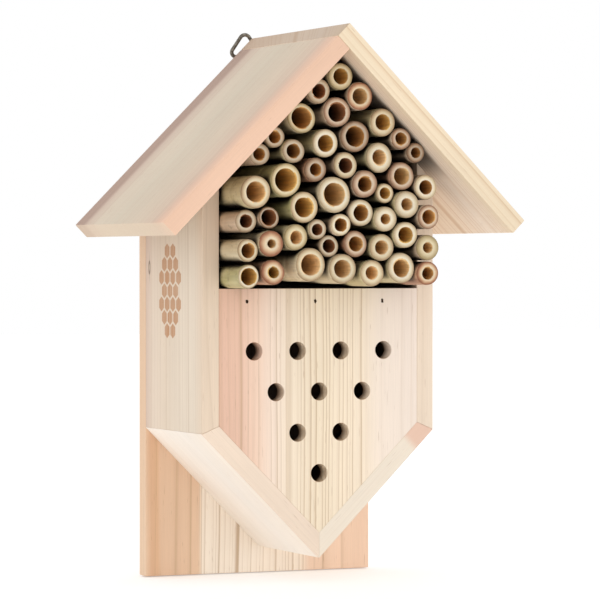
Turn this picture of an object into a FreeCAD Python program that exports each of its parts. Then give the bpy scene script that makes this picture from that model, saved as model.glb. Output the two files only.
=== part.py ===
import FreeCAD, Part
import math
import os

# Insect hotel: a small softwood house whose gable is packed with bamboo canes
# and whose pointed lower chamber is closed by a drilled board.  Millimetres.
# Origin: centre of the back board's bottom edge.  +X right, front faces -Y,
# +Z up.

# ---------------------------------------------------------------- boards
BODY_WIDTH = 140.0          # across the outer faces of the two side walls
BODY_DEPTH = 86.0           # side walls, back board's face to their front edge
WALL_T = 10.0               # side walls and the two sloping bottom boards
BACK_T = 10.0               # back board
ROOF_T = 10.0               # both roof panels
FRONT_T = 10.0              # drilled front board
SHELF_T = 12.0              # shelf that carries the canes
CORNER_Z = 85.0             # outer corner where a side wall meets the bottom V
SHELF_TOP_Z = 164.5         # top of the shelf and of the drilled board
RIDGE_Z = 309.0             # outer apex of the roof
ROOF_DEPTH = 137.0          # roof panels, front edge to rear edge
LEFT_ROOF_LENGTH = 144.0    # down the slope, from the right panel to the eave
RIGHT_ROOF_LENGTH = 151.0   # down the slope, from the ridge to the eave
SLOPE = math.radians(45.0)  # roof pitch, and the fall of the bottom V

# ---------------------------------------------------------- drilled board
HOLE_D = 10.0               # nesting holes
TOP_HOLE_DROP = 34.5        # top row below the board's top edge
LAST_HOLE_RISE = 33.0       # single lowest hole above the board's point
HOLES_PER_ROW = (4, 3, 2, 1)

# ----------------------------------------------------------------- brads
BRAD_D = 1.4
BRAD_LENGTH = 20.0
BRAD_HEAD_D = 2.4
BRAD_HEAD_T = 0.8
BRAD_CLEARANCE = 0.05       # round the shank and the head
BRAD_BELOW_TOP = 7.0        # front brads below the board's top edge
FRONT_BRAD_PITCH = 41.0
FRONT_BRAD_SHIFT = -2.5     # the row stands a little left of the middle
WALL_BRAD_FROM_END = 25.0   # rear brads from each end of a side wall
SHELF_BRAD_X = (-35.0, 35.0)

# ---------------------------------------------------------------- hanger
HANGER_X = -3.5             # the hanger is fixed a little left of the middle
WIRE_D = 2.2                # ring wire
RING_RISE = 12.8            # pivot to the wire's centre at the ring's tip
RING_HALF_WIDTH = 10.6      # middle to the corner where the wire's lines meet
RING_CORNER_R = 2.5
RING_TIP_R = 3.3
RING_ABOVE_RIDGE = 3.0      # outside of the tip over the roof's apex
STRAP_SHEET_T = 0.8         # folded double below the pivot
STRAP_WIDTH = 9.0
STRAP_DROP = 22.0           # pivot to the strap's lower end
STRAP_END_R = 4.0
HINGE_CLEARANCE = 0.1       # wire in the strap's fold
SCREW_DROP = 15.5           # pivot to the screw
SCREW_D = 2.8
SCREW_LENGTH = 9.0          # under the head
SCREW_TIP = 2.5
SCREW_HEAD_D = 6.0
SCREW_HEAD_H = 1.8
SCREW_SLOT_W = 0.9
SCREW_SLOT_DEPTH = 0.9
SCREW_CLEARANCE = 0.05
SCREW_SLOT_OVERRUN = 1.0    # the slot's cutter runs past the head

# ----------------------------------------------------------------- canes
# One row for each cane, from the gable down to the shelf: place across the
# bay, height of its centre over the shelf, outside diameter, bore, and how
# far its mouth stands out in front of the drilled board.
CANES = (
    (1.0, 116.0, 15.0, 9.0, 27.0),
    (-12.0, 107.5, 14.0, 8.0, 27.0),
    (12.0, 105.5, 15.5, 9.0, 27.0),
    (-1.0, 96.5, 16.5, 10.5, 27.0),
    (-22.5, 93.0, 17.0, 12.0, 27.0),
    (27.0, 91.0, 15.5, 9.0, 26.5),
    (9.5, 84.0, 17.5, 11.5, 26.0),
    (-8.0, 79.5, 15.5, 9.5, 26.5),
    (37.5, 82.5, 12.0, 7.0, 27.0),
    (-38.0, 82.5, 12.0, 7.0, 26.0),
    (-27.5, 74.5, 13.5, 8.0, 27.0),
    (46.0, 75.5, 11.0, 6.0, 26.5),
    (-47.5, 73.0, 12.5, 7.0, 27.0),
    (24.5, 72.0, 16.5, 8.5, 26.5),
    (4.0, 67.5, 14.5, 8.5, 26.5),
    (-14.0, 65.0, 13.5, 7.0, 26.5),
    (38.0, 62.0, 15.5, 9.5, 26.5),
    (-31.0, 59.0, 18.5, 13.0, 26.5),
    (15.5, 57.5, 15.5, 8.5, 27.0),
    (52.5, 56.0, 14.0, 8.0, 27.0),
    (-49.5, 52.5, 18.0, 11.5, 27.0),
    (28.0, 52.5, 11.0, 6.5, 26.0),
    (-3.0, 51.5, 20.0, 13.0, 27.0),
    (41.5, 45.0, 15.0, 7.0, 28.5),
    (-21.0, 44.5, 17.0, 11.0, 27.0),
    (13.5, 41.5, 15.0, 9.0, 26.5),
    (54.0, 40.5, 13.5, 8.0, 29.5),
    (-55.0, 37.0, 13.0, 7.5, 22.0),
    (-42.0, 38.5, 12.5, 9.0, 23.5),
    (28.5, 38.5, 14.0, 6.0, 27.5),
    (1.0, 35.0, 12.5, 7.5, 27.0),
    (-13.0, 32.5, 11.0, 6.5, 27.0),
    (41.0, 29.0, 15.0, 9.0, 28.0),
    (-26.0, 28.0, 14.5, 7.5, 27.0),
    (-40.5, 24.5, 14.5, 5.0, 26.5),
    (10.0, 24.5, 14.5, 8.5, 26.5),
    (-6.5, 23.5, 12.0, 7.5, 25.5),
    (-54.0, 21.0, 12.5, 8.0, 25.5),
    (26.0, 22.5, 15.0, 8.0, 26.5),
    (53.0, 23.5, 14.0, 6.0, 29.0),
    (-53.5, 6.5, 13.0, 9.5, 26.0),
    (-39.0, 9.0, 14.0, 6.5, 26.5),
    (-17.0, 13.5, 18.5, 12.0, 27.5),
    (2.0, 11.0, 16.5, 10.0, 27.0),
    (20.0, 8.5, 14.5, 7.5, 26.5),
    (38.0, 11.5, 17.0, 10.0, 26.5),
    (53.0, 8.5, 13.5, 7.0, 28.5),
)
CANE_SPREAD = 60.0          # half width of the bay that the places are for
CANE_STACK = 130.4          # height of the bay that the places are for
CANE_CLEARANCE = 0.1        # between canes, and to the boards round them
CANE_BUNDLE_FILL = 0.69     # share of the bay's area that the canes fill
CANE_END_KNOT = 8.0         # solid cane behind each bore
SETTLE_PASSES = 600

# ---------------------------------------------------------- derived places
HALF_WIDTH = BODY_WIDTH / 2
HALF_BAY = HALF_WIDTH - WALL_T
BACK_REAR_Y = BACK_T / 2
BACK_FACE_Y = -BACK_T / 2
FRONT_Y = BACK_FACE_Y - BODY_DEPTH
FRONT_REAR_Y = FRONT_Y + FRONT_T
ROOF_FRONT_Y = BACK_REAR_Y - ROOF_DEPTH
RISE = math.tan(SLOPE)
ROOF_DROP = ROOF_T / math.cos(SLOPE)        # roof thickness, measured plumb
V_LIFT = WALL_T / math.cos(SLOPE)           # bottom board, measured plumb
MITRE_LIFT = V_LIFT - WALL_T * RISE         # wall to bottom board mitre
GABLE_Z = RIDGE_Z - ROOF_DROP               # inner apex under the roof
V_TIP_Z = CORNER_Z - HALF_WIDTH * RISE
BOARD_TIP_Z = V_TIP_Z + V_LIFT              # lowest point of the drilled board
TOP_HOLE_Z = SHELF_TOP_Z - TOP_HOLE_DROP
LAST_HOLE_Z = BOARD_TIP_Z + LAST_HOLE_RISE
HOLE_ROW_STEP = (TOP_HOLE_Z - LAST_HOLE_Z) / (len(HOLES_PER_ROW) - 1)
HOLE_PITCH = HOLE_ROW_STEP / math.sin(math.radians(60))
LAP_X = -ROOF_DROP / 2 / RISE               # where the left panel meets the right
LAP_Z = RIDGE_Z - ROOF_DROP / 2
PIVOT_Z = RIDGE_Z + RING_ABOVE_RIDGE - WIRE_D / 2 - RING_RISE
FOLD_R = WIRE_D / 2 + HINGE_CLEARANCE + STRAP_SHEET_T
PIVOT_Y = BACK_REAR_Y + FOLD_R


def under_roof(x):
    """Height of the roof's underside at x."""
    return GABLE_Z - abs(x) * RISE


def slab(points, y_from, y_to):
    """Board with the outline points (x, z), from y_from back to y_to."""
    corners = [FreeCAD.Vector(x, y_from, z) for x, z in points]
    wire = Part.makePolygon(corners + corners[:1])
    return Part.Face(wire).extrude(FreeCAD.Vector(0, y_to - y_from, 0))


def mirrored(points):
    return [(-x, z) for x, z in points]


def rod(x, z, radius, y_from, y_to):
    """Round bar along Y."""
    start = FreeCAD.Vector(x, y_from, z)
    return Part.makeCylinder(radius, y_to - y_from, start, FreeCAD.Vector(0, 1, 0))


# ------------------------------------------------------------------- body
def wall_outline():
    return [
        (-HALF_WIDTH, CORNER_Z),
        (-HALF_BAY, CORNER_Z + MITRE_LIFT),
        (-HALF_BAY, under_roof(HALF_BAY)),
        (-HALF_WIDTH, under_roof(HALF_WIDTH)),
    ]


def bottom_outline():
    return [
        (-HALF_WIDTH, CORNER_Z),
        (0, V_TIP_Z),
        (0, BOARD_TIP_Z),
        (-HALF_BAY, CORNER_Z + MITRE_LIFT),
    ]


def back_outline():
    return [
        (-HALF_WIDTH, 0),
        (HALF_WIDTH, 0),
        (HALF_WIDTH, under_roof(HALF_WIDTH)),
        (0, GABLE_Z),
        (-HALF_WIDTH, under_roof(HALF_WIDTH)),
    ]


def front_outline():
    return [
        (-HALF_BAY, CORNER_Z + MITRE_LIFT),
        (0, BOARD_TIP_Z),
        (HALF_BAY, CORNER_Z + MITRE_LIFT),
        (HALF_BAY, SHELF_TOP_Z),
        (-HALF_BAY, SHELF_TOP_Z),
    ]


def shelf_outline():
    return [
        (-HALF_BAY, SHELF_TOP_Z - SHELF_T),
        (HALF_BAY, SHELF_TOP_Z - SHELF_T),
        (HALF_BAY, SHELF_TOP_Z),
        (-HALF_BAY, SHELF_TOP_Z),
    ]


def eave(x, z, length):
    """Outer and inner corner of an eave, length down the slope from (x, z)
    towards +X."""
    run, fall = math.cos(SLOPE), math.sin(SLOPE)
    outer = (x + length * run, z - length * fall)
    inner = (outer[0] - ROOF_T * fall, outer[1] - ROOF_T * run)
    return [outer, inner]


def right_roof_outline():
    """The right panel laps over the left one's top end."""
    return [(0, RIDGE_Z)] + eave(0, RIDGE_Z, RIGHT_ROOF_LENGTH) + [(LAP_X, LAP_Z)]


def left_roof_outline():
    outline = [(-LAP_X, LAP_Z)] + eave(-LAP_X, LAP_Z, LEFT_ROOF_LENGTH) + [(0, GABLE_Z)]
    return mirrored(outline)


def nesting_holes():
    """Centres (x, z) of the drilled board's holes."""
    centres = []
    for row, count in enumerate(HOLES_PER_ROW):
        z = TOP_HOLE_Z - row * HOLE_ROW_STEP
        for i in range(count):
            centres.append(((i - (count - 1) / 2) * HOLE_PITCH, z))
    return centres


# ------------------------------------------------------------------ brads
def brad(x, z, face_y, inward):
    """Brad with its head flush in the face at face_y.  inward is +1 where it
    is driven towards +Y and -1 where it is driven towards -Y."""
    return brad_shape(x, z, face_y, inward, 0)


def brad_hole(x, z, face_y, inward):
    return brad_shape(x, z, face_y, inward, BRAD_CLEARANCE)


def brad_shape(x, z, face_y, inward, clearance):
    direction = FreeCAD.Vector(0, inward, 0)
    start = FreeCAD.Vector(x, face_y, z)
    head_r = BRAD_HEAD_D / 2 + clearance
    shank_r = BRAD_D / 2 + clearance
    head = Part.makeCylinder(head_r, BRAD_HEAD_T + clearance, start, direction)
    shank = Part.makeCylinder(shank_r, BRAD_LENGTH + clearance, start, direction)
    return head.fuse(shank).removeSplitter()


def brad_places():
    """Front brads into the shelf, then rear ones into walls and shelf."""
    front_z = SHELF_TOP_Z - BRAD_BELOW_TOP
    rear_z = SHELF_TOP_Z - SHELF_T / 2
    wall_x = HALF_WIDTH - WALL_T / 2
    wall_top = under_roof(HALF_WIDTH)
    places = []
    for i in (-1, 0, 1):
        places.append((FRONT_BRAD_SHIFT + i * FRONT_BRAD_PITCH, front_z, FRONT_Y, 1))
    for side in (-1, 1):
        for z in (CORNER_Z + WALL_BRAD_FROM_END, wall_top - WALL_BRAD_FROM_END):
            places.append((side * wall_x, z, BACK_REAR_Y, -1))
    for x in SHELF_BRAD_X:
        places.append((x, rear_z, BACK_REAR_Y, -1))
    return places


# ----------------------------------------------------------------- hanger
def corner_arc(before, corner, after, radius):
    """Start, middle and end of the round that blends a corner, all (x, z)."""
    ux, uz = before[0] - corner[0], before[1] - corner[1]
    vx, vz = after[0] - corner[0], after[1] - corner[1]
    lu, lv = math.hypot(ux, uz), math.hypot(vx, vz)
    ux, uz, vx, vz = ux / lu, uz / lu, vx / lv, vz / lv
    half = math.acos(ux * vx + uz * vz) / 2
    reach = radius / math.tan(half)
    bx, bz = ux + vx, uz + vz
    lb = math.hypot(bx, bz)
    to_middle = radius / math.sin(half) - radius
    start = (corner[0] + ux * reach, corner[1] + uz * reach)
    middle = (corner[0] + bx / lb * to_middle, corner[1] + bz / lb * to_middle)
    end = (corner[0] + vx * reach, corner[1] + vz * reach)
    return start, middle, end


def ring_edges():
    """Centre line of the triangular ring, upright, pivot bar at the bottom."""
    # The leg lines touch the tip's round and meet above it.
    round_z = RING_RISE - RING_TIP_R
    lean = math.atan2(RING_HALF_WIDTH, round_z)
    lean -= math.asin(RING_TIP_R / math.hypot(RING_HALF_WIDTH, round_z))
    tip = RING_HALF_WIDTH / math.tan(lean)
    corners = [(-RING_HALF_WIDTH, 0), (RING_HALF_WIDTH, 0), (0, tip)]
    radii = [RING_CORNER_R, RING_CORNER_R, RING_TIP_R]
    rounds = []
    for i, radius in enumerate(radii):
        rounds.append(corner_arc(corners[i - 1], corners[i], corners[(i + 1) % 3], radius))

    def place(point):
        return FreeCAD.Vector(HANGER_X + point[0], PIVOT_Y, PIVOT_Z + point[1])

    edges = []
    for i, (start, middle, end) in enumerate(rounds):
        edges.append(Part.Arc(place(start), place(middle), place(end)).toShape())
        following = rounds[(i + 1) % 3][0]
        edges.append(Part.makeLine(place(end), place(following)))
    return edges


def hanger_ring():
    pieces = []
    for edge in ring_edges():
        start = edge.valueAt(edge.FirstParameter)
        along = edge.tangentAt(edge.FirstParameter)
        disc = Part.Face(Part.Wire(Part.makeCircle(WIRE_D / 2, start, along)))
        pieces.append(Part.Wire([edge]).makePipe(disc))
    return pieces[0].multiFuse(pieces[1:]).removeSplitter()


def hanger_strap():
    """Sheet folded round the ring's lower bar and lying flat on the board."""
    left = HANGER_X - STRAP_WIDTH / 2
    across = FreeCAD.Vector(1, 0, 0)
    fold = Part.makeCylinder(FOLD_R, STRAP_WIDTH, FreeCAD.Vector(left, PIVOT_Y, PIVOT_Z), across)
    tail = Part.makeBox(
        STRAP_WIDTH, 2 * STRAP_SHEET_T, STRAP_DROP,
        FreeCAD.Vector(left, BACK_REAR_Y, PIVOT_Z - STRAP_DROP),
    )
    lower = [e for e in tail.Edges if is_lower_side_edge(e)]
    tail = tail.makeFillet(STRAP_END_R, lower)
    wire_way = Part.makeCylinder(
        WIRE_D / 2 + HINGE_CLEARANCE, STRAP_WIDTH,
        FreeCAD.Vector(left, PIVOT_Y, PIVOT_Z), across,
    )
    screw_way = rod(
        HANGER_X, PIVOT_Z - SCREW_DROP, SCREW_D / 2 + SCREW_CLEARANCE,
        BACK_REAR_Y, BACK_REAR_Y + 2 * STRAP_SHEET_T,
    )
    return fold.fuse(tail).cut(wire_way).cut(screw_way).removeSplitter()


def is_lower_side_edge(edge):
    """True for the two edges through the sheet at the strap's lower end."""
    box = edge.BoundBox
    through = box.YLength > STRAP_SHEET_T
    return through and box.ZMax < PIVOT_Z - STRAP_DROP / 2


def screw_head_y():
    return BACK_REAR_Y + 2 * STRAP_SHEET_T


def hanger_screw():
    """Domed, slotted wood screw through the strap into the back board."""
    z = PIVOT_Z - SCREW_DROP
    under_head = screw_head_y()
    head_r = SCREW_HEAD_D / 2
    ball_r = (head_r ** 2 + SCREW_HEAD_H ** 2) / (2 * SCREW_HEAD_H)
    ball = Part.makeSphere(ball_r, FreeCAD.Vector(HANGER_X, under_head + SCREW_HEAD_H - ball_r, z))
    head = ball.common(rod(HANGER_X, z, head_r + SCREW_CLEARANCE, under_head, under_head + SCREW_HEAD_H))
    slot = Part.makeBox(
        SCREW_HEAD_D + 2 * SCREW_SLOT_OVERRUN, SCREW_SLOT_DEPTH + SCREW_SLOT_OVERRUN, SCREW_SLOT_W,
        FreeCAD.Vector(
            HANGER_X - head_r - SCREW_SLOT_OVERRUN,
            under_head + SCREW_HEAD_H - SCREW_SLOT_DEPTH,
            z - SCREW_SLOT_W / 2,
        ),
    )
    shank_end = under_head - SCREW_LENGTH + SCREW_TIP
    shank = rod(HANGER_X, z, SCREW_D / 2, shank_end, under_head)
    tip = Part.makeCone(
        SCREW_D / 2, SCREW_D / 8, SCREW_TIP,
        FreeCAD.Vector(HANGER_X, shank_end, z), FreeCAD.Vector(0, -1, 0),
    )
    return head.cut(slot).fuse(shank).fuse(tip).removeSplitter()


def screw_hole():
    deepest = screw_head_y() - SCREW_LENGTH - SCREW_CLEARANCE
    return rod(HANGER_X, PIVOT_Z - SCREW_DROP, SCREW_D / 2 + SCREW_CLEARANCE, deepest, BACK_REAR_Y)


# ------------------------------------------------------------------ canes
def cane_fit():
    """Factor on every cane's diameter, so the bundle fills its share of the
    bay whatever the bay's size."""
    straight = under_roof(HALF_BAY) - SHELF_TOP_Z
    gable = GABLE_Z - under_roof(HALF_BAY)
    bay = 2 * HALF_BAY * straight + HALF_BAY * gable
    canes = sum(math.pi * row[2] ** 2 / 4 for row in CANES)
    return math.sqrt(CANE_BUNDLE_FILL * bay / canes)


def settle_canes():
    """Centres (x, height over the shelf) and outer radii of the canes.  They
    start at their listed places, spread to the real bay, and are then pushed
    off each other and off the boards until nothing touches."""
    fit = cane_fit()
    stack = GABLE_Z - SHELF_TOP_Z
    xs = [row[0] * HALF_BAY / CANE_SPREAD for row in CANES]
    hs = [row[1] * stack / CANE_STACK for row in CANES]
    radii = [row[2] / 2 * fit for row in CANES]
    run, fall = math.cos(SLOPE), math.sin(SLOPE)
    count = len(CANES)
    for _ in range(SETTLE_PASSES):
        for a in range(count):
            for b in range(a + 1, count):
                dx, dh = xs[b] - xs[a], hs[b] - hs[a]
                apart = math.hypot(dx, dh)
                short = radii[a] + radii[b] + CANE_CLEARANCE - apart
                if short > 0:
                    push = short / 2 / apart
                    xs[a] -= dx * push
                    hs[a] -= dh * push
                    xs[b] += dx * push
                    hs[b] += dh * push
        for a in range(count):
            keep = radii[a] + CANE_CLEARANCE
            for side in (-1, 1):
                over = side * xs[a] * fall + (hs[a] - stack) * run + keep
                if over > 0:
                    xs[a] -= side * over * fall
                    hs[a] -= over * run
            xs[a] = max(-HALF_BAY + keep, min(HALF_BAY - keep, xs[a]))
            hs[a] = max(keep, hs[a])
    return xs, hs, radii


def closest_fit(xs, hs, radii):
    """Largest factor, at most 1, on the radii that leaves every clearance."""
    stack = GABLE_Z - SHELF_TOP_Z
    run, fall = math.cos(SLOPE), math.sin(SLOPE)
    factor = 1.0
    for a in range(len(xs)):
        room = [HALF_BAY - abs(xs[a]), hs[a], (stack - hs[a]) * run - abs(xs[a]) * fall]
        factor = min(factor, (min(room) - CANE_CLEARANCE) / radii[a])
        for b in range(a):
            apart = math.hypot(xs[a] - xs[b], hs[a] - hs[b])
            factor = min(factor, (apart - CANE_CLEARANCE) / (radii[a] + radii[b]))
    return factor


def canes():
    """Canes lie on the shelf with their rear ends glued to the back board."""
    xs, hs, radii = settle_canes()
    final = closest_fit(xs, hs, radii)
    bore_fit = cane_fit() * final
    shapes = []
    for x, h, radius, row in zip(xs, hs, radii, CANES):
        z = SHELF_TOP_Z + h
        mouth_y = FRONT_Y - row[4]
        skin = rod(x, z, radius * final, mouth_y, BACK_FACE_Y)
        bore = rod(x, z, row[3] / 2 * bore_fit, mouth_y, BACK_FACE_Y - CANE_END_KNOT)
        shapes.append(skin.cut(bore))
    return shapes


# --------------------------------------------------------------- assembly
def build():
    nodes = {
        "back_board": slab(back_outline(), BACK_FACE_Y, BACK_REAR_Y).cut(screw_hole()),
        "left_wall": slab(wall_outline(), FRONT_Y, BACK_FACE_Y),
        "right_wall": slab(mirrored(wall_outline()), FRONT_Y, BACK_FACE_Y),
        "left_bottom_board": slab(bottom_outline(), FRONT_Y, BACK_FACE_Y),
        "right_bottom_board": slab(mirrored(bottom_outline()), FRONT_Y, BACK_FACE_Y),
        "cane_shelf": slab(shelf_outline(), FRONT_REAR_Y, BACK_FACE_Y),
        "front_board": slab(front_outline(), FRONT_Y, FRONT_REAR_Y),
        "left_roof_panel": slab(left_roof_outline(), ROOF_FRONT_Y, BACK_REAR_Y),
        "right_roof_panel": slab(right_roof_outline(), ROOF_FRONT_Y, BACK_REAR_Y),
        "hanger_strap": hanger_strap(),
        "hanger_ring": hanger_ring(),
        "hanger_screw": hanger_screw(),
    }
    for x, z in nesting_holes():
        drill = rod(x, z, HOLE_D / 2, FRONT_Y, FRONT_REAR_Y)
        nodes["front_board"] = nodes["front_board"].cut(drill)
    brads = []
    nailed = ("back_board", "left_wall", "right_wall", "cane_shelf", "front_board")
    for place in brad_places():
        brads.append(brad(*place))
        hole = brad_hole(*place)
        for name in nailed:
            nodes[name] = nodes[name].cut(hole)
    nodes["brads"] = Part.makeCompound(brads)
    for number, shape in enumerate(canes(), start=1):
        nodes["cane_%02d" % number] = shape
    return nodes


os.makedirs("parts", exist_ok=True)
for node_name, node_shape in build().items():
    node_shape.exportStep(os.path.join("parts", node_name + ".step"))
    print(node_name, len(node_shape.Solids), round(node_shape.Volume, 1))
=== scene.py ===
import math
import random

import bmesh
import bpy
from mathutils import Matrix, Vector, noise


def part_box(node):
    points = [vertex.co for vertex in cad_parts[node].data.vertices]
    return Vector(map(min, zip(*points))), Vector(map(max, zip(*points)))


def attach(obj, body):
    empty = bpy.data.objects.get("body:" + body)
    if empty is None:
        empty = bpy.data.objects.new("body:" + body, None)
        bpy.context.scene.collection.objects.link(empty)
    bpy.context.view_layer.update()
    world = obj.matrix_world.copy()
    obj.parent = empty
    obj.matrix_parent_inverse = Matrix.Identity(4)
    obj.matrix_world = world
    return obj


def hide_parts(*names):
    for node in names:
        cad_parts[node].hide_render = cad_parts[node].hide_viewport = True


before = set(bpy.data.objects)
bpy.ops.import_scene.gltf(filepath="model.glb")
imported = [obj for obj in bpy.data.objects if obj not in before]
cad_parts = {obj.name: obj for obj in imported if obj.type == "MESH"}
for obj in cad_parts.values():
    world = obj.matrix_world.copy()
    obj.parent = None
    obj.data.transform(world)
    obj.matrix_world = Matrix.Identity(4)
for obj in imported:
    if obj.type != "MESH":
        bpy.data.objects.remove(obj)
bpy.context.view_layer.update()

# %% [markdown]
# # An insect hotel
# A small softwood house for solitary bees.  Planed boards make the body and
# the roof, bamboo canes fill the gable, and a drilled board closes the pointed
# chamber below.  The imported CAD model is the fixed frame: every visible piece
# is built on the box of the CAD node that it stands for, so nothing has to be
# fitted by eye.  Lengths below are in millimetres until they meet Blender,
# which works in metres.

MM = 0.001

# %% [markdown]
# ## Colours
# Blender's shaders want linear light, while a colour picker gives display
# values.  One function turns the usual six-figure code into a linear colour.

# %% Colour codes


def linear(value):
    return value / 12.92 if value <= 0.04045 else ((value + 0.055) / 1.055) ** 2.4


def paint(code, strength=1.0):
    """Linear colour of a display code such as "E6D6C4"."""
    parts = [int(code[i:i + 2], 16) / 255 for i in (0, 2, 4)]
    return tuple(min(1.0, linear(part) * strength) for part in parts) + (1.0,)


print("cream board:", [round(part, 3) for part in paint("F1DEC2")])

# %% [markdown]
# ## Shader maths that reads like maths
# A material is a graph of nodes, and wiring it by hand is long.  This small
# class holds one output socket.  Adding or multiplying two of them adds the
# Math node, and `node` makes any other node: its settings are set first,
# because some of them change which sockets the node has.

# %% The wire class


class Wire:
    def __init__(self, socket):
        self.socket = socket

    def node(self, kind, settings, inputs, output=0):
        tree = self.socket.id_data
        made = tree.nodes.new("ShaderNode" + kind)
        for name, value in settings.items():
            if name == "stops":
                ramp = made.color_ramp.elements
                ramp.remove(ramp[-1])
                ramp[0].position, ramp[0].color = value[0]
                for position, colour in value[1:]:
                    ramp.new(position).color = colour
            else:
                setattr(made, name, value)
        for name, value in inputs.items():
            if isinstance(value, Wire):
                tree.links.new(value.socket, made.inputs[name])
            else:
                made.inputs[name].default_value = value
        return Wire(made.outputs[output])

    def maths(self, operation, *values):
        return self.node("Math", {"operation": operation}, dict(enumerate(values)))

    def __add__(self, other):
        return self.maths("ADD", self, other)

    __radd__ = __add__

    def __mul__(self, other):
        return self.maths("MULTIPLY", self, other)

    __rmul__ = __mul__

    def __sub__(self, other):
        return self.maths("SUBTRACT", self, other)

    def __rsub__(self, other):
        return self.maths("SUBTRACT", other, self)

    def __truediv__(self, other):
        return self.maths("DIVIDE", self, other)

    def __pow__(self, other):
        return self.maths("POWER", self, other)

    def __gt__(self, other):
        return self.maths("GREATER_THAN", self, other)

    def __lt__(self, other):
        return self.maths("LESS_THAN", self, other)

    def __abs__(self):
        return self.maths("ABSOLUTE", self)

    def smooth(self, low, high):
        """0 below low, 1 above high, and a soft step between."""
        return self.node(
            "MapRange", {"interpolation_type": "SMOOTHSTEP"},
            {"Value": self, "From Min": low, "From Max": high},
        )

    def stretched(self, factors):
        return self.node("VectorMath", {"operation": "MULTIPLY"}, {0: self, 1: factors})

    def noise(self, factors, detail=2.0):
        """Noise whose grains are 1/factors long in each direction."""
        place = self.stretched(factors)
        return self.node("TexNoise", {}, {"Vector": place, "Scale": 1.0, "Detail": detail})

    def split(self):
        return [self.node("SeparateXYZ", {}, {0: self}, i) for i in range(3)]

    def ramp(self, stops):
        return self.node("ValToRGB", {"stops": stops}, {0: self})

    def tint(self, first, second):
        """Colour first where this mask is 0, second where it is 1."""
        return self.node("Mix", {"data_type": "RGBA"}, {0: self, 6: first, 7: second}, 2)


print("wire class ready")

# %% A material to start from


def new_material(name):
    """Material, its Principled shader, and Object coordinates in millimetres."""
    material = bpy.data.materials.new(name)
    material.use_nodes = True
    tree = material.node_tree
    coordinates = Wire(tree.nodes.new("ShaderNodeTexCoord").outputs["Object"])
    return material, tree.nodes["Principled BSDF"], coordinates.stretched((1000, 1000, 1000))


def feed(shader, name, wire):
    shader.id_data.links.new(wire.socket, shader.inputs[name])


def feed_bump(shader, height, strength, distance):
    """Height in millimetres, through a Bump node, to the shader's normal."""
    bump = height.node(
        "Bump", {}, {"Height": height, "Strength": strength, "Distance": distance * MM}
    )
    feed(shader, "Normal", bump)


print("material starter ready")

# %% [markdown]
# ## Planed softwood
# A board is cut from a trunk, so its pattern is a slice through rings.  The
# shader keeps that order: it turns the coordinates so that Z runs along the
# grain, measures the distance to a pith line that lies outside the board, and
# repeats a pale-to-brown ramp once per ring.  Faces, edges and end grain then
# agree with each other at every corner, which a flat stripe pattern never
# does.  Wide boards are glued up from staves, so pith, ring width and tint may
# change at a stave's edge.

# %% Growth rings

LATEWOOD = [(0.0, (0.25,) * 4), (0.06, (0.0,) * 4), (0.50, (0.04,) * 4), (0.80, (0.35,) * 4),
            (0.93, (1.0,) * 4), (1.0, (0.5,) * 4)]


def by_stave(across, staves, column):
    """The staves' number in that column, stepping at each stave's edge."""
    value = staves[0][column]
    for before, stave in zip(staves, staves[1:]):
        value = value + (across > stave[0]) * (stave[column] - before[column])
    return value


def growth_rings(board, staves):
    """Strength of the latewood, 0 to 1, for staves of (left edge, pith
    across, pith through, ring width, strength)."""
    across, through, along = board.split()
    sway = board.noise((0.011, 0.011, 0.0035)) - 0.5
    shiver = board.noise((0.07, 0.07, 0.012)) - 0.5
    side = across + sway * 9 + shiver * 0.9 - by_stave(across, staves, 1)
    deep = through - by_stave(across, staves, 2)
    distance = (side * side + deep * deep) ** 0.5
    uneven = distance.node(
        "TexNoise", {"noise_dimensions": "1D"}, {"W": distance, "Scale": 0.11, "Detail": 1.0}
    )
    turns = distance / by_stave(across, staves, 3) + uneven * 3.2
    ring = turns.maths("FLOOR", turns)
    late = (turns - ring).ramp(LATEWOOD)
    luck = ring.node("TexWhiteNoise", {"noise_dimensions": "1D"}, {"W": ring})
    return late * (luck * 0.75 + 0.25) * by_stave(across, staves, 4)


print("growth rings ready")

# %% [markdown]
# ## Small things that happened to the wood, and painted shade inside
# A knot is an old branch: a dark oval whose rim is the branch's bark, with the
# trunk's grain bulging round it.  The left wall carries a burnt mark, a patch
# of plain honeycomb cells made with a hot stamp.  The shade inside the house is
# painted: faces that look into it are made far darker than the planed faces.
# All three are masks worked out from distances, so they stay sharp at any size.

# %% Masks of the knots, the burnt honeycomb and the painted inside shade


def knot_rim(across, along, knot):
    """Mask of a knot's rim and of the check above and below it."""
    x, z, half_width, half_height = knot
    side = (across - x) / half_width
    up = (along - z) / half_height
    away = (side * side + up * up) ** 0.5
    rim = 1 - abs(away - 0.9).smooth(0.08, 0.55)
    tail = (1 - abs(side).smooth(0.05, 0.45)) * (1 - abs(up).smooth(1.0, 3.4)) * 0.45
    return rim.maths("MAXIMUM", rim, tail)


def honeycomb(across, along, middle, cell):
    """Mask of hexagonal cells, flat sides up and down the grain, in an oval
    patch round the middle.  cell is the width across a cell's flats."""
    step = math.sqrt(3) * cell
    u, v = across - middle[0], along - middle[1]
    nearest = None
    for shift in (0.0, 0.5):
        du = u.maths("WRAP", u + shift * cell, cell / 2, -cell / 2)
        dv = v.maths("WRAP", v + shift * step, step / 2, -step / 2)
        wall = du.maths("MAXIMUM", abs(du), abs(du) * 0.5 + abs(dv) * (math.sqrt(3) / 2))
        cu, cv = (u - du) / middle[2], (v - dv) / middle[3]
        inside = (cu * cu + cv * cv) < 1.0
        shown = inside * (1 - wall.smooth(cell * 0.40, cell * 0.45))
        nearest = shown if nearest is None else nearest.maths("MAXIMUM", nearest, shown)
    return nearest


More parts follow.
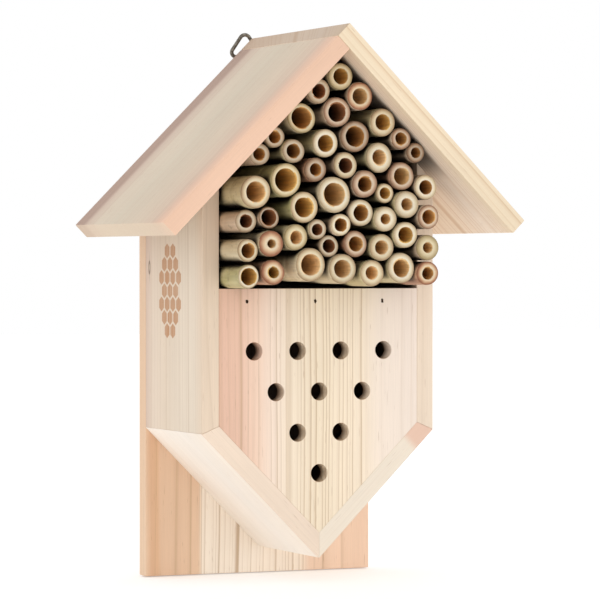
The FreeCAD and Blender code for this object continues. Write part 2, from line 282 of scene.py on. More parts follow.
def indoors(place, front, inner, outer):
    """Mask of the surfaces inside the house and behind y = front, where the
    shade is painted.  It fades out between inner and outer, measured from the middle."""
    x, y, z = place.split()
    wide = abs(x)
    mask = 1 - wide.smooth(inner, outer)
    mask = mask * (1 - (z + wide).smooth(gable_z + 0.3, gable_z + 0.9))
    mask = mask * (z - wide).smooth(tip_z - 0.9, tip_z - 0.3)
    return mask * y.smooth(front, front + 9) * (1 - y.smooth(-4.6, -4.0))


gable_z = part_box("back_board")[1].z / MM
tip_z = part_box("front_board")[0].z / MM
print("the inside reaches from", round(tip_z, 1), "up to", round(gable_z, 1), "mm")

# %% Softwood material


def softwood(name, grain, across, tints, staves, late="B08D66", ripple=0.0, knots=(),
             mark=None, inside=(-89.0, 60.2, 60.8), end=("C79F74", 0.42), blush=None):
    """Board material.  grain and across are the board's own directions; tints
    are (place across in mm, colour code); staves are as in growth_rings;
    inside says where the faces that look into the house get painted shade."""
    material, shader, place = new_material(name)
    grain, across = Vector(grain).normalized(), Vector(across).normalized()
    turn = Matrix((across, grain.cross(across), grain)).to_euler()
    board = place.node("Mapping", {}, {"Vector": place, "Rotation": turn})
    side, through, along = board.split()

    low, high = tints[0][0], tints[-1][0]
    drift = (board.noise((0.04, 0.04, 0.006)) - 0.5) * 5
    reach = ((side + drift) - low) / (high - low)
    colour = reach.ramp([((at - low) / (high - low), paint(code)) for at, code in tints])

    late_mask = growth_rings(board, staves)
    fibre = board.noise((2.4, 2.4, 0.045), 3.0)
    cloud = board.noise((0.03, 0.03, 0.009), 3.0)
    brown = late_mask.tint(colour, paint(late))
    shade = (fibre - 0.5) * 0.16 + (cloud - 0.5) * 0.20 + 1.0
    grown = brown.node("VectorMath", {"operation": "SCALE"}, {0: brown, "Scale": shade})

    duct = board.noise((1.5, 1.5, 0.10), 1.0).smooth(0.70, 0.78)
    colour = (duct * 0.35).tint(grown, paint("A98463"))
    normal = Wire(place.socket.id_data.nodes["Texture Coordinate"].outputs["Normal"])
    facing = abs(normal.node("VectorMath", {"operation": "DOT_PRODUCT"}, {0: normal, 1: grain}, 1))
    sawn = facing.smooth(0.75, 0.95)
    colour = (sawn * end[1]).tint(colour, paint(end[0]))
    pore = board.noise((3.2, 3.2, 3.2), 2.0)
    colour = (sawn * pore * 0.3).tint(colour, paint("8C6A47"))

    for knot in knots:
        colour = (knot_rim(side, along, knot) * 0.85).tint(colour, paint("7D6A55"))
    if mark:
        scorch = honeycomb(side, along, mark, mark[4]) * ((fibre - 0.5) * 1.6 + 0.82)
        colour = scorch.tint(colour, paint("BC8A62"))
    if blush:
        patch = (blush[0] - along + drift * 1.5).smooth(-3, 3) * (blush[1] - side).smooth(-0.5, 0.5)
        colour = (patch * 0.6).tint(colour, paint(blush[2]))
    # Painted shade: faces that look into the house are tinted dark brown in the chamber below and near
    # black in the gable bay, mottled a little by the pores.
    painted_shade = (pore - 0.5) * 0.25 + 0.86
    inside_shade_and_bore_wobble = place.split()[2].smooth(150, 158).tint(paint("6B4930"), paint("2C1C10"))
    colour = (indoors(place, *inside) * painted_shade).tint(colour, inside_shade_and_bore_wobble)
    feed(shader, "Base Color", colour)
    feed(shader, "Roughness", 0.62 + fibre * 0.18 - late_mask * 0.08)

    height = fibre * 0.10 + late_mask * 0.06 + sawn * pore * 0.15
    if ripple:
        wave = along * 2.1 + board.noise((0.06, 0.06, 0.02)) * 5
        height = height + wave.maths("SINE", wave) * ripple
    feed_bump(shader, height, 0.55, 0.35)
    shader.inputs["Specular IOR Level"].default_value = 0.30
    return material


print("softwood material ready")

# %% [markdown]
# ## Which board shows which figure
# The drilled board has a pink stave of wide rings on the left and a quiet one
# on the right, round a middle of close, dark lines.  The back board repeats
# that order.  The roof's grain runs down the slope, so that rain follows it.

# %% The boards' woods
UP, DEPTH = (0, 0, 1), (0, 1, 0)
LEFT_SLOPE, RIGHT_SLOPE = (1, 0, 1), (-1, 0, 1)

woods = {
    "front_board": softwood(
        "softwood_front", UP, (1, 0, 0),
        [(-60, "E6BEA7"), (-49, "E8C1AA"), (-38, "F1D2BC"), (-28, "F4E0CE"), (-18, "F2E1CA"),
         (0, "F1E0C6"), (27, "F0DFC8"), (38, "F3E3D3"), (60, "F2E2D4")],
        [(-60, -150, -150, 9.6, 0.55), (-16, -190, -20, 2.7, 0.8), (27, 190, 300, 3.8, 0.30)],
        inside=(-88.0, 60.2, 60.8)),
    "back_board": softwood(
        "softwood_back", UP, (1, 0, 0),
        [(-70, "E8C9AB"), (-66, "DDB391"), (-62, "DFB692"), (-60, "E5C2A4"), (-38, "E8C7A9"),
         (-35.5, "FAEDDC"), (26, "FAEBDA"), (33, "F2D4BC"), (70, "F2D0B6")],
        [(-70, -160, -150, 6.4, 0.58), (-37, -190, -20, 2.9, 0.75), (30, 120, 200, 5.2, 0.5)],
        knots=[(31, 226, 4.2, 6.0), (-44, 92, 2.6, 4.4)]),
    "left_wall": softwood(
        "softwood_left_wall", UP, DEPTH,
        [(-91, "E7D2BB"), (-80, "E5D6C3"), (-60, "E4D5C2"), (-35, "E2D0BB"), (-16, "E2D0BD"),
         (-9, "D8C1AF"), (-5, "CFB6A2")],
        [(-91, 150, 120, 4.6, 0.36), (-40, 130, 210, 6.0, 0.34)],
        late="BCA184", knots=[(-11.2, 176, 1.3, 3.4)], mark=(-43, 163, 15.5, 27.0, 8.6)),
    "right_wall": softwood(
        "softwood_right_wall", UP, DEPTH,
        [(-91, "EDDAC5"), (-50, "EBDAC4"), (-5, "E6CDB3")],
        [(-91, 160, 150, 4.2, 0.42)], late="BCA184"),
    # The first two tints paint the front edge face a little darker than the underside: painted shade.
    "left_bottom_board": softwood(
        "softwood_left_bottom", (1, 0, -1), DEPTH,
        [(-91, "ECD8C4"), (-89.6, "ECD8C4"), (-88.8, "F4E8DA"), (-60, "F6EDE2"), (-5, "F5EADD")],
        [(-91, 40, 420, 3.8, 0.12)], late="D8C2A6", end=("E2CBAC", 0.3)),
    "right_bottom_board": softwood(
        "softwood_right_bottom", (-1, 0, -1), DEPTH,
        [(-91, "EDE0CE"), (-60, "F3E5D2"), (-5, "F0DFC9")],
        [(-91, -40, 380, 4.2, 0.18)], late="CDB293", blush=(-95.0, -87.0, "E2AE95")),
    "cane_shelf": softwood(
        "softwood_shelf", (1, 0, 0), DEPTH,
        [(-81, "EBD8BC"), (-5, "E6CFB2")],
        [(-81, 30, 120, 3.4, 0.5)], inside=(-82.0, 60.2, 60.8)),
    "left_roof_panel": softwood(
        "softwood_left_roof", LEFT_SLOPE, DEPTH,
        [(-132, "EEC7AC"), (-124, "E0BDA6"), (-114, "D6C0AC"), (-96, "D6C4AF"), (-60, "D3C6B2"),
         (-30, "D6C7B3"), (-14, "CDB8A7"), (-9, "AF9587"), (5, "AE9486")],
        [(-132, 260, 170, 5.0, 0.42), (-30, 220, 330, 5.5, 0.42)],
        late="C2A08A", ripple=0.10, inside=(-118.0, 55, 71), end=("F3DFC6", 0.55)),
    "right_roof_panel": softwood(
        "softwood_right_roof", RIGHT_SLOPE, DEPTH,
        [(-132, "EEDBBE"), (-122, "F4E2CC"), (-104, "F8E9D8"), (-50, "F2E0CB"), (5, "E6CCB6")],
        [(-132, 210, 140, 3.4, 0.58)],
        late="C2976A", ripple=0.10, inside=(-118.0, 55, 71), end=("AD9580", 0.55)),
}
print(len(woods), "softwood materials")

# %% [markdown]
# ## Boards
# A joiner planes a board to size, saws its mitres and takes the sharp arris
# off with a rub of sandpaper.  The mesh is made in that order: a cube is
# stretched to the stock's size, turned to its slope, cut with bisect planes
# and closed again, and its edges get a bevel of up to half a millimetre,
# which is what catches the light on a real board.

# %% Plank helpers


def finish_piece(name, bm, materials, body, *nodes, slot=None):
    """Makes the object, hands it to its CAD body and hides the CAD nodes."""
    mesh = bpy.data.meshes.new(name)
    bm.to_mesh(mesh)
    bm.free()
    for material in materials:
        mesh.materials.append(material)
    piece = bpy.data.objects.new(name, mesh)
    bpy.context.scene.collection.objects.link(piece)
    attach(piece, body)
    if nodes:
        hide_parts(*nodes)
    return piece


def stock(size, middle, turn=0.0):
    """Rectangular board of that size in mm, turned about Y and set down."""
    bm = bmesh.new()
    bmesh.ops.create_cube(bm, size=1.0)
    bmesh.ops.scale(bm, vec=Vector(size) * MM, verts=bm.verts)
    bmesh.ops.rotate(bm, cent=(0, 0, 0), matrix=Matrix.Rotation(turn, 3, "Y"), verts=bm.verts)
    bmesh.ops.translate(bm, vec=Vector(middle) * MM, verts=bm.verts)
    return bm


def saw(bm, point, outward):
    """Cuts away what lies on the outward side of a plane, and closes the cut."""
    cut = bmesh.ops.bisect_plane(
        bm, geom=bm.verts[:] + bm.edges[:] + bm.faces[:], dist=1e-7,
        plane_co=Vector(point) * MM, plane_no=outward, clear_outer=True,
    )
    rim = [e for e in cut["geom_cut"] if isinstance(e, bmesh.types.BMEdge)]
    bmesh.ops.contextual_create(bm, geom=rim)


def ease(bm, width=0.45, segments=2, edges=None):
    """Takes the arris off the edges."""
    bmesh.ops.bevel(
        bm, geom=edges or bm.edges[:], offset=width * MM, offset_type="OFFSET",
        affect="EDGES", segments=segments, profile=0.5, material=-1, clamp_overlap=True,
    )


def mm_box(node):
    low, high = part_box(node)
    return low / MM, high / MM


HALF_MITRE = math.radians(22.5)


def planed(node, *cuts):
    """Upright board on its CAD node's box, sawn at the cuts."""
    low, high = mm_box(node)
    bm = stock(high - low, (low + high) / 2)
    for point, outward in cuts:
        saw(bm, point, outward)
    return bm


print("plank helpers ready")

# %% Back board, side walls and shelf
back_high = mm_box("back_board")[1]
apex = (0, 0, back_high.z)
bm = planed("back_board", (apex, (1, 0, 1)), (apex, (-1, 0, 1)))
ease(bm)
finish_piece("back_board_planed", bm, [woods["back_board"]], "house", "back_board", slot="softwood")

for side, node in ((-1, "left_wall"), (1, "right_wall")):
    low, high = mm_box(node)
    outer = side * max(abs(low.x), abs(high.x))
    bm = planed(
        node,
        (apex, (side, 0, 1)),
        ((outer, 0, low.z), (-side * math.sin(HALF_MITRE), 0, -math.cos(HALF_MITRE))),
    )
    ease(bm)
    finish_piece(node + "_planed", bm, [woods[node]], "house", node, slot="softwood")

bm = planed("cane_shelf")
ease(bm)
finish_piece("cane_shelf_planed", bm, [woods["cane_shelf"]], "house", "cane_shelf", slot="softwood")

# %% [markdown]
# ## Sloping boards
# The two bottom boards meet in a V and the two roof panels in a ridge, all at
# 45 degrees.  Each starts as level stock, is turned about Y, and the bottom
# ones are then mitred.  A roof panel keeps its square ends: the right one laps
# over the end of the left one, and its end grain shows along the ridge.

# %% Bottom V
BOARD = 10.0
HALF_WIDTH = 70.0
corner_z = mm_box("left_wall")[0].z
for side, node in ((-1, "left_bottom_board"), (1, "right_bottom_board")):
    low, high = mm_box(node)
    inward = Vector((-side, 0, 1)).normalized()
    start = Vector((side * HALF_WIDTH, 0, corner_z))
    end = Vector((0, 0, low.z))
    middle = (start + end) / 2 + inward * BOARD / 2
    middle.y = (low.y + high.y) / 2
    length = (end - start).length + 4 * BOARD
    bm = stock((length, high.y - low.y, BOARD), middle, math.radians(-45 * side))
    saw(bm, (0, 0, 0), (-side, 0, 0))
    saw(bm, start, (side * math.sin(HALF_MITRE), 0, math.cos(HALF_MITRE)))
    ease(bm, 0.25)
    finish_piece(node + "_sloped", bm, [woods[node]], "house", node, slot="softwood")
print("bottom V:", [[round(v, 1) for v in corner] for corner in mm_box("left_bottom_board")])

# %% Roof panels
for side, node in ((-1, "left_roof_panel"), (1, "right_roof_panel")):
    low, high = mm_box(node)
    length = (high.x - low.x) * math.sqrt(2) - BOARD
    middle = (low + high) / 2
    bm = stock((length, high.y - low.y, BOARD), middle, math.radians(45 * side))
    ease(bm, 0.55)
    finish_piece(node + "_sloped", bm, [woods[node]], "house", node, slot="softwood")
    print(node, "length down the slope", round(length, 1))

# %% [markdown]
# ## The drilled board
# Ten holes are drilled in a triangle.  A boolean could cut them, but then
# every rim would need cleaning.  Here the board's outline and ten circles are
# filled as one flat face with openings, the face is extruded through the
# board's thickness, and the rims are bevelled, so that each one catches a
# thin line of light.

# %% Outline, holes and thickness
front_low, front_high = mm_box("front_board")
HOLE_R = 5.0
HOLES_PER_ROW = (4, 3, 2, 1)
TOP_HOLE_DROP = 34.5
ROW_STEP, PITCH = 22.62, 26.12


def drilled_places():
    places = []
    for row, count in enumerate(HOLES_PER_ROW):
        z = front_high.z - TOP_HOLE_DROP - row * ROW_STEP
        for i in range(count):
            places.append(((i - (count - 1) / 2) * PITCH, z))
    return places


shoulder_z = front_low.z + front_high.x
bm = bmesh.new()
corners = [(front_low.x, front_high.z), (front_low.x, shoulder_z), (0, front_low.z),
           (front_high.x, shoulder_z), (front_high.x, front_high.z)]
outline = [bm.verts.new((x * MM, front_low.y * MM, z * MM)) for x, z in corners]
for first, second in zip(outline, outline[1:] + outline[:1]):
    bm.edges.new((first, second))
for x, z in drilled_places():
    place = Matrix.Translation(Vector((x, front_low.y, z)) * MM) @ Matrix.Rotation(math.pi / 2, 4, "X")
    bmesh.ops.create_circle(bm, cap_ends=False, segments=40, radius=HOLE_R * MM, matrix=place)
bmesh.ops.triangle_fill(bm, use_beauty=True, use_dissolve=True, edges=bm.edges[:])
thick = bmesh.ops.extrude_face_region(bm, geom=bm.faces[:])
moved = [v for v in thick["geom"] if isinstance(v, bmesh.types.BMVert)]
bmesh.ops.translate(bm, vec=(0, (front_high.y - front_low.y) * MM, 0), verts=moved)
bmesh.ops.recalc_face_normals(bm, faces=bm.faces[:])
print("drilled board:", len(bm.faces), "faces,", len(drilled_places()), "holes")

# %% Rims
sharp = [e for e in bm.edges if e.is_manifold and e.calc_face_angle() > math.radians(30)]
rims = [e for e in sharp if e.calc_length() < HOLE_R * MM * 0.3]
ease(bm, 0.4, 2, rims)
sharp = [e for e in bm.edges if e.is_manifold and e.calc_face_angle() > math.radians(50)]
ease(bm, 0.2, 2, sharp)
finish_piece("front_board_drilled", bm, [woods["front_board"]], "house", "front_board", slot="softwood")

# %% [markdown]
# ## Bamboo
# Bamboo is a grass: its wall is a pale body full of fibre bundles, with a
# thin waxy skin outside and a papery lining inside.  Sawn across, the bundles
# show as dots that crowd towards the skin.  Noise that is stretched along the
# cane gives streaks on the skin and dots on the cut from the same numbers.
# Four attributes are written on each cane's mesh: how far a point is across
# the cane's wall, how deep it is behind the mouth, how much painted shade it
# gets, strongest where canes nearly touch behind the mouths, and one number for
# the whole cane that makes it a little darker or lighter than its neighbours.

# %% Bamboo materials


def written(shader, name):
    """The value that was written on the mesh under that name."""
    source = shader.id_data.nodes.new("ShaderNodeAttribute")
    source.attribute_name = name
    return Wire(source.outputs["Fac"])


def scaled_colour(colour, factor):
    return colour.node("VectorMath", {"operation": "SCALE"}, {0: colour, "Scale": factor})


def cane_skin(name, body, streak):
    material, shader, place = new_material(name)
    own, painted_shade = written(shader, "own_number"), written(shader, "painted_shade")
    fine = place.noise((1.1, 0.02, 1.1), 3.0)
    broad = place.noise((0.22, 0.03, 0.22), 2.0)
    dirt = place.noise((0.35, 0.25, 0.35), 4.0).smooth(0.56, 0.74)
    colour = broad.smooth(0.35, 0.68).tint(paint(body), paint(streak))
    colour = scaled_colour(colour, (fine - 0.5) * 0.45 + own * 0.2 + 0.88)
    colour = (dirt * 0.35).tint(colour, paint("6E5A3E"))
    # Painted shade: near black on the skin in the narrow gaps between canes, behind the mouths.
    colour = painted_shade.smooth(0.05, 0.75).tint(colour, paint("1B120B"))
    feed(shader, "Base Color", colour)
    feed(shader, "Roughness", 0.36 + fine * 0.22 + dirt * 0.15)
    feed_bump(shader, fine * 0.12 + broad * 0.1, 0.5, 0.3)
    return material


def cane_cut(name, inner, body, outer):
    """Sawn end, from the bore's lining out to the skin."""
    material, shader, place = new_material(name)
    own, across = written(shader, "own_number"), written(shader, "across_wall")
    bundles = place.noise((2.6, 0.08, 2.6), 1.0)
    rub = place.noise((0.30, 0.2, 0.30), 3.0)
    scratch = place.noise((0.5, 1.0, 3.2), 2.0)
    ring = across + (rub - 0.5) * 0.5
    colour = ring.ramp([(0.0, paint(inner, 0.9)), (0.15, paint(inner)), (0.42, paint(body)),
                        (0.78, paint(outer)), (1.0, paint(outer, 0.66))])
    dots = bundles.smooth(0.54, 0.66) * across.smooth(0.35, 0.95)
    colour = scaled_colour(colour, (rub - 0.5) * 0.34 + own * 0.12 + 0.91 + (scratch - 0.5) * 0.12)
    colour = (dots * 0.34).tint(colour, paint("9C7B50"))
    feed(shader, "Base Color", colour)
    feed(shader, "Roughness", 0.68 + bundles * 0.2)
    feed_bump(shader, bundles * 0.2 + scratch * 0.16, 0.6, 0.3)
    return material


def cane_bore(name, lining, depth):
    """Lining painted darker with depth as shade inside the bore, near black by that depth in mm behind
    the mouth.
    """
    material, shader, place = new_material(name)
    own, deep = written(shader, "own_number"), written(shader, "behind_mouth")
    fine = place.noise((1.0, 0.05, 1.0), 2.0)
    pith = place.noise((0.5, 0.3, 0.5), 3.0)
    colour = scaled_colour(fine.smooth(0.25, 0.75).tint(paint(lining), paint(lining, 1.35)),
                           (pith - 0.5) * 0.4 + own * 0.2 + 0.9)
    # Painted shade: the lining fades to near black with depth behind the mouth.
    colour = ((deep + pith * 6 - 3) / depth).smooth(0.12, 1.0).tint(colour, paint("20130A"))
    feed(shader, "Base Color", colour)
    feed(shader, "Roughness", 0.62 + pith * 0.25)
    feed_bump(shader, fine * 0.15, 0.5, 0.3)
    return material


skins = {
    "khaki": cane_skin("bamboo_skin_khaki", "BFAF82", "D0C29A"),
    "green": cane_skin("bamboo_skin_green", "B1A874", "C4B98A"),
    "tan": cane_skin("bamboo_skin_tan", "C2A78A", "D6BEA2"),
    "rosy": cane_skin("bamboo_skin_rosy", "A9775C", "C89C7C"),
    "cream": cane_skin("bamboo_skin_cream", "D3C09A", "E0D0AE"),
}
cuts = {
    "cream": cane_cut("bamboo_cut_cream", "E4D4B4", "D6C4A0", "B59B78"),
    "pale": cane_cut("bamboo_cut_pale", "EDE1C8", "E0D1B2", "C1AB89"),
    "yellow": cane_cut("bamboo_cut_yellow", "E2D3AE", "D2BF97", "AE9A70"),
    "pink": cane_cut("bamboo_cut_pink", "D9C4AA", "C9AB8F", "9B775D"),
    "drab": cane_cut("bamboo_cut_drab", "BFAD96", "B1987E", "89694F"),
    "dull": cane_cut("bamboo_cut_dull", "D1C1A7", "C5B194", "A48B6E"),
    "orange": cane_cut("bamboo_cut_orange", "EAD7B6", "D9B58F", "A36C4E"),
}
bores = {
    "dark": cane_bore("bamboo_bore_dark", "93603A", 26),
    "brown": cane_bore("bamboo_bore_brown", "AC7C42", 32),
    "umber": cane_bore("bamboo_bore_umber", "C29254", 45),
    "honey": cane_bore("bamboo_bore_honey", "C79E58", 50),
    "tan": cane_bore("bamboo_bore_tan", "D6B27C", 62),
    "straw": cane_bore("bamboo_bore_straw", "E2BE8C", 64),
}
print(len(skins) + len(cuts) + len(bores), "bamboo materials")

# %% [markdown]
# ## Forty-seven canes
# A cane is a body of revolution, so half of its section is drawn as a chain of
# points and spun round the cane's axis: back end, skin with perhaps one swollen
# node, eased mouth, sawn rim, bore, and the knot that closes the rear end.
# Real canes aren't round, so the spun shape is then pinched a little across
# one direction, always inwards, and the bore sits a little off the middle.
# The looks are listed cane by cane, from the gable down to the shelf.

# %% The canes' looks
CANE_LOOKS = """
khaki yellow honey; tan dull dark; tan orange tan; tan pink dark;
cream yellow umber; khaki cream honey; tan drab brown; khaki pale honey;
tan pink umber; khaki dull umber; khaki dull brown; tan drab brown;
tan dull umber; khaki pale straw; tan cream dark; rosy drab brown;
rosy pink tan; green yellow honey; tan pink brown; tan pale brown;
khaki cream tan; khaki cream honey; cream pale tan; khaki pale straw;
green cream honey; tan pale umber; tan pink umber; tan dull dark;
tan drab dark; khaki pale tan; tan pale brown; khaki dull dark;
khaki pale honey; khaki yellow straw; cream orange tan; rosy pink umber;
tan dull dark; cream cream umber; khaki cream straw; tan yellow tan;
green pale honey; rosy orange honey; cream cream straw; cream cream straw;
khaki cream straw; khaki pale tan; rosy orange umber
"""
looks = [row.split() for row in CANE_LOOKS.split(";")]
WITH_NODE = (5, 13, 18, 21, 28, 35, 41, 43)
print(len(looks), "canes")

# %% The canes' measures and the painted shade between them


def cane_measures(node):
    """Middle, outer and bore radius, mouth and rear of a CAD cane, in mm."""
    low, high = mm_box(node)
    middle = (low + high) / 2
    mouth = [v.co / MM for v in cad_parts[node].data.vertices if v.co.y / MM < low.y + 0.01]
    bore = min(math.hypot(p.x - middle.x, p.z - middle.z) for p in mouth)
    return middle, (high.x - low.x) / 2, bore, low.y, high.y


measures = [cane_measures(f"cane_{number:02}") for number in range(1, len(looks) + 1)]
bay = mm_box("front_board")
wall_front = bay[0].y


def gap_shade(number, x, y, z):
    """Strength of the painted shade at a point on that cane: how much of the
    narrowest gap beside it is closed, growing with the depth behind whatever narrows it."""
    most = 0.0
    for other, (middle, outer, _, mouth, _) in enumerate(measures, start=1):
        if other != number and y > mouth:
            gap = math.hypot(x - middle.x, z - middle.z) - outer
            most = max(most, (1 - gap / 6.5) * min(1.0, (y - mouth) / 5))
    roof_gap = (gable_z - z - abs(x)) / math.sqrt(2)
    most = max(most, (1 - roof_gap / 5) * min(1.0, (y - measures[number - 1][3] + 1) / 6))
    if y > wall_front:
        for gap in (bay[1].x - abs(x), z - bay[1].z):
            most = max(most, (1 - gap / 5) * min(1.0, (y - wall_front + 2) / 4))
    return max(0.0, most)


print("dust at a cane's side, 10 mm in:", round(gap_shade(23, -3, -105, measures[22][0].z + 8), 2))

# %% One cane
AROUND = 36


def cane_section(outer, bore, mouth, rear, has_node, luck):
    """Half section from the rear end's middle to the end knot's middle.  The
    bore stays open to 9 mm from the rear, as it is in the CAD solid."""
    wall = outer - bore
    closed = rear - 3.0 - luck.random()
    points = [(0, rear), (outer - 0.3, rear), (outer, rear - 0.3), (outer * 0.99, mouth + 62),
              (outer * 0.995, mouth + 42), (outer, mouth + 30)]
    if has_node:
        at = mouth + luck.uniform(13, 20)
        points += [(outer * 0.985, at + 5), (outer, at + 0.8), (outer * 0.955, at), (outer, at - 0.8),
                   (outer * 0.985, at - 4)]
    else:
        points += [(outer * 0.995, mouth + 21), (outer * 0.995, mouth + 14)]
    points += [
        (outer, mouth + 8.5), (outer, mouth + 5), (outer, mouth + 2.5), (outer - 0.04, mouth + 0.9),
        (outer - 0.22, mouth + 0.35), (outer - 0.55, mouth + 0.08), (outer - wall * 0.35, mouth),
        (bore + wall * 0.3, mouth + 0.05), (bore + 0.35, mouth + 0.02), (bore + 0.08, mouth + 0.2),
        (bore, mouth + 0.7), (bore, mouth + 5), (bore * 1.02, mouth + 12), (bore * 1.02, mouth + 22),
        (bore, closed - 5), (bore * 0.85, closed - 1), (bore * 0.45, closed), (0, closed + 0.8),
    ]
    return points


def cane(number, skin, cut, bore_look):
    middle, outer, bore, mouth, rear = measures[number - 1]
    luck = random.Random(700 + number)
    bm = bmesh.new()
    section = cane_section(outer, bore, mouth, rear, number in WITH_NODE, luck)
    chain = [bm.verts.new((r * MM, y * MM, 0)) for r, y in section]
    for first, second in zip(chain, chain[1:]):
        bm.edges.new((first, second))
    bmesh.ops.spin(bm, geom=bm.verts[:] + bm.edges[:], cent=(0, 0, 0), axis=(0, 1, 0),
                   angle=math.tau, steps=AROUND, use_merge=True, use_duplicate=False)
    bmesh.ops.remove_doubles(bm, verts=bm.verts[:], dist=1e-6)
    bmesh.ops.recalc_face_normals(bm, faces=bm.faces[:])

    layers = [bm.verts.layers.float.new(n) for n in ("across_wall", "behind_mouth", "painted_shade", "own_number")]
    flat, lean, own_number = luck.uniform(0, math.pi), luck.uniform(0, math.tau), luck.random()
    pinch, wander = luck.uniform(0.005, 0.06), luck.uniform(0.0, 0.12) * (outer - bore)
    tilt = luck.uniform(-0.03, 0.03)
    for vert in bm.verts:
        x, y, z = vert.co / MM
        away = math.hypot(x, z)
        # Painted shade, written on the skin's points only.
        painted_shade = gap_shade(number, x + middle.x, y, z + middle.z) if away > outer * 0.9 else 0.0
        for layer, value in zip(layers, ((away - bore) / (outer - bore), y - mouth, painted_shade, own_number)):
            vert[layer] = value
        angle = math.atan2(z, x)
        lumps = noise.noise(Vector((math.cos(angle), math.sin(angle), number * 3.1)) * 1.3)
        squeeze = 1 - pinch * (0.5 + 0.5 * math.cos(2 * (angle - flat))) - 0.03 * (1 + lumps) / 2
        if away < bore * 1.05:
            inside_shade_and_bore_wobble = noise.noise(Vector((math.cos(angle) * 2, math.sin(angle) * 2, number * 1.7)))
            squeeze *= 1 - 0.05 * (1 + inside_shade_and_bore_wobble) / 2
        vert.co.x *= squeeze
        vert.co.z *= squeeze
        if away < bore * 1.05:
            vert.co.x += math.cos(lean) * wander * MM
            vert.co.z += math.sin(lean) * wander * MM
        if y < mouth + 1:
            vert.co.y += (abs(tilt) * outer + tilt * vert.co.x / MM) * MM
    slant = abs(tilt) * 2 * outer
    for face in bm.faces:
        here = face.calc_center_median() / MM
        away = math.hypot(here.x, here.z)
        if here.y < mouth + 0.6 + slant and bore * 0.98 < away:
            face.material_index = 1
        elif away < (bore + outer) / 2 and here.y < rear - 1:
            face.material_index = 2
        face.smooth = True
    bmesh.ops.translate(bm, vec=Vector((middle.x, 0, middle.z)) * MM, verts=bm.verts[:])
    node = f"cane_{number:02}"
    finishes = [skins[skin], cuts[cut], bores[bore_look]]
    finish_piece(f"{node}_bamboo", bm, finishes, "house", node, slot="bamboo")


for number, (skin, cut, bore_look) in enumerate(looks, start=1):
    cane(number, skin, cut, bore_look)

# %% [markdown]
# ## Steel
# The ring is bent from bare wire that has darkened with handling.  The strap
# and its screw are thinly zinc plated and stay greyer.  These three already
# have their true shape in the CAD model, so they are kept and only get a
# finish: colour, metal, and the fine wear that makes steel look used.  The
# brads' dark finish is made here too, and their shape follows; on the brads it
# also stands for the painted shade of the pits round their heads.

# %% Steel finishes


def steel(name, body, worn, roughness):
    material, shader, place = new_material(name)
    mottle = place.noise((0.9, 0.9, 0.9), 4.0)
    drawn = place.noise((5.0, 0.6, 5.0), 2.0)
    colour = mottle.smooth(0.38, 0.62).tint(paint(body), paint(worn))
    feed(shader, "Base Color", scaled_colour(colour, (drawn - 0.5) * 0.3 + 1.0))
    feed(shader, "Roughness", roughness + (mottle - 0.5) * 0.3)
    shader.inputs["Metallic"].default_value = 1.0
    feed_bump(shader, drawn * 0.05 + mottle * 0.05, 0.4, 0.2)
    return material


ring_wire = steel("darkened_wire", "5A544C", "8C867A", 0.42)
plated = steel("zinc_plate", "A9A59C", "C8C5BC", 0.38)
# Dark steel for the brads, also used on the discs that paint the shade of their pits.
brad_steel = steel("sunk_brad_steel", "33281F", "4E3E30", 0.7)
for node, material in (("hanger_ring", ring_wire), ("hanger_strap", plated), ("hanger_screw", plated)):
    steel_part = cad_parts[node]
    steel_part.data.materials.clear()
    steel_part.data.materials.append(material)
print("finishes:", [m.name for m in (ring_wire, plated, brad_steel)])

# %% [markdown]
# ## Brads
# The brads come from a nail gun: their heads are small bars, and the gun
# drives them until the wood round them tears.  From the front each one is a
# short dark slit.  One bar is made for each brad of the CAD model, with a
# flat ragged dark disc over its head that stands for the dark head and paints
# the shade of the torn pit round it, and all of them share one mesh, because
# they are one node of the frame.

# %% Brads as slits
wall_low = mm_box("left_wall")[0]
FRONT_BRAD_DROP, SHELF_BRAD_DROP = 7.0, 6.0
FRONT_BRADS, SHELF_BRADS = (-43.5, -2.5, 38.5), (-35.0, 35.0)
WALL_MIDDLE = 65.0
WALL_BRADS = (110.0, wall_low.z + 114.9)
BAR = (0.9, 19.0, 2.2)
SUNK, PROUD = 0.03, 0.02
DISC_R = 1.35
rear_face = back_high.y
luck = random.Random(41)
brad_places = [(x, front_low.y, front_high.z - FRONT_BRAD_DROP, 1) for x in FRONT_BRADS]
brad_places += [(side * WALL_MIDDLE, rear_face, z, -1) for side in (-1, 1) for z in WALL_BRADS]
brad_places += [(x, rear_face, front_high.z - SHELF_BRAD_DROP, -1) for x in SHELF_BRADS]
bm = bmesh.new()
for x, y, z, inward in brad_places:
    bar = bmesh.ops.create_cube(bm, size=1.0)["verts"]
    bmesh.ops.scale(bm, vec=Vector(BAR) * MM, verts=bar)
    lean = Matrix.Rotation(luck.uniform(-0.5, 0.5), 3, "Y")
    bmesh.ops.rotate(bm, cent=(0, 0, 0), matrix=lean, verts=bar)
    bmesh.ops.translate(bm, vec=Vector((x, y + inward * (BAR[1] / 2 + SUNK), z)) * MM, verts=bar)
    centre = Matrix.Translation(Vector((x, y - inward * PROUD, z)) * MM)
    upright = Matrix.Rotation(math.pi / 2, 4, "X")
    # The dark disc stands for the dark head and paints the shade of the torn pit round it.
    head_and_pit_shade_disc = bmesh.ops.create_circle(
        bm, cap_ends=True, segments=14, radius=DISC_R * MM, matrix=centre @ upright,
    )
    for vert in head_and_pit_shade_disc["verts"]:
        ragged = luck.uniform(0.55, 1.0)
        vert.co.x = x * MM + (vert.co.x - x * MM) * ragged * 0.75
        vert.co.z = z * MM + (vert.co.z - z * MM) * ragged * 1.1
bmesh.ops.recalc_face_normals(bm, faces=bm.faces[:])
finish_piece("brads_driven", bm, [brad_steel], "house", "brads", slot="brad_steel")
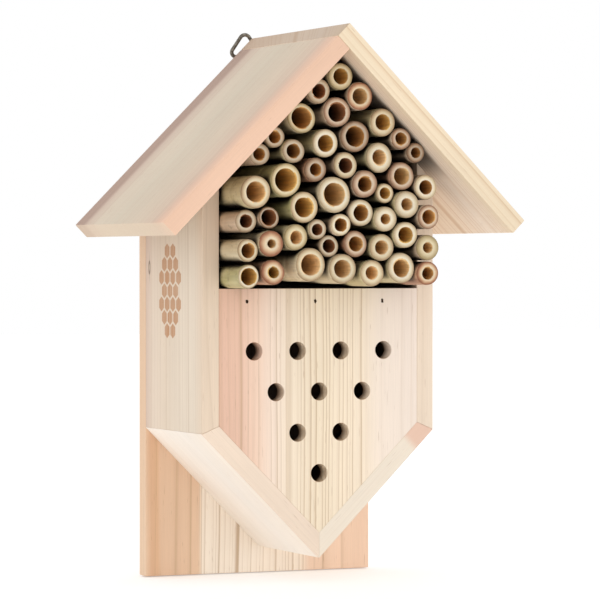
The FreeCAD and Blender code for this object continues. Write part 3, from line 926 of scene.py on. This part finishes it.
print(len(brad_places), "brads in", [[round(v, 1) for v in corner] for corner in mm_box("brads")])

# %% [markdown]
# ## Floor, light and camera
# A pale floor just under the house and a white surround make a light tent, as
# in a product studio: nothing is dark except what the house hides itself.  A
# large soft lamp in front and one to the side give the boards their slight
# differences in tone.

# %% Floor and surround
floor_mesh = bpy.data.meshes.new("studio_floor")
bm = bmesh.new()
bmesh.ops.create_grid(bm, x_segments=1, y_segments=1, size=6.0)
bmesh.ops.translate(bm, vec=(0, 0, -0.0006), verts=bm.verts)
bm.to_mesh(floor_mesh)
bm.free()
studio_floor = bpy.data.objects.new("studio_floor", floor_mesh)
bpy.context.scene.collection.objects.link(studio_floor)
floor_material, floor_shader, _ = new_material("studio_floor")
floor_shader.inputs["Base Color"].default_value = (0.82, 0.82, 0.82, 1)
floor_shader.inputs["Emission Color"].default_value = (1, 1, 1, 1)
floor_shader.inputs["Emission Strength"].default_value = 0.28
floor_shader.inputs["Roughness"].default_value = 0.9
floor_mesh.materials.append(floor_material)

surround = bpy.data.worlds.new("studio_surround")
bpy.context.scene.world = surround
surround.use_nodes = True
background = surround.node_tree.nodes["Background"]
background.inputs["Color"].default_value = (1.0, 1.0, 1.0, 1)
background.inputs["Strength"].default_value = 1.0
bpy.context.scene.view_settings.view_transform = "Standard"
print("surround strength", background.inputs["Strength"].default_value)

# %% Lamps


HOUSE_MIDDLE = Vector((0, -0.05, 0.16))
LAMP_DISTANCE = 1.6


def outward(azimuth, elevation):
    """Direction from the house, in degrees round from its front and up."""
    a, e = math.radians(azimuth), math.radians(elevation)
    return Vector((math.sin(a) * math.cos(e), -math.cos(a) * math.cos(e), math.sin(e)))


def soft_lamp(name, azimuth, elevation, size, watts):
    lamp = bpy.data.lights.new(name, "AREA")
    lamp.shape, lamp.size, lamp.energy = "SQUARE", size, watts
    holder = bpy.data.objects.new(name, lamp)
    out = outward(azimuth, elevation)
    holder.location = HOUSE_MIDDLE + out * LAMP_DISTANCE
    holder.rotation_euler = (-out).to_track_quat("-Z", "Y").to_euler()
    bpy.context.scene.collection.objects.link(holder)


soft_lamp("front_softbox", 20, 12, 1.0, 0.7)
soft_lamp("left_softbox", -60, 12, 0.8, 0.3)
print("lamps:", len(bpy.data.lights))

# %% Camera
camera_data = bpy.data.cameras.new("studio_camera")
camera_data.sensor_width = 36.0
camera_data.lens = 200.15
camera = bpy.data.objects.new("studio_camera", camera_data)
AIM = Vector((10.71, -40.0, 157.51)) * MM
CAMERA_DISTANCE = 1.9
out = outward(-23.72, 0.65)
camera.location = AIM + out * CAMERA_DISTANCE
camera.rotation_mode = "QUATERNION"
camera.rotation_quaternion = (-out).to_track_quat("-Z", "Y")
bpy.context.scene.collection.objects.link(camera)
bpy.context.scene.camera = camera
print("camera at", [round(v, 3) for v in camera.location])
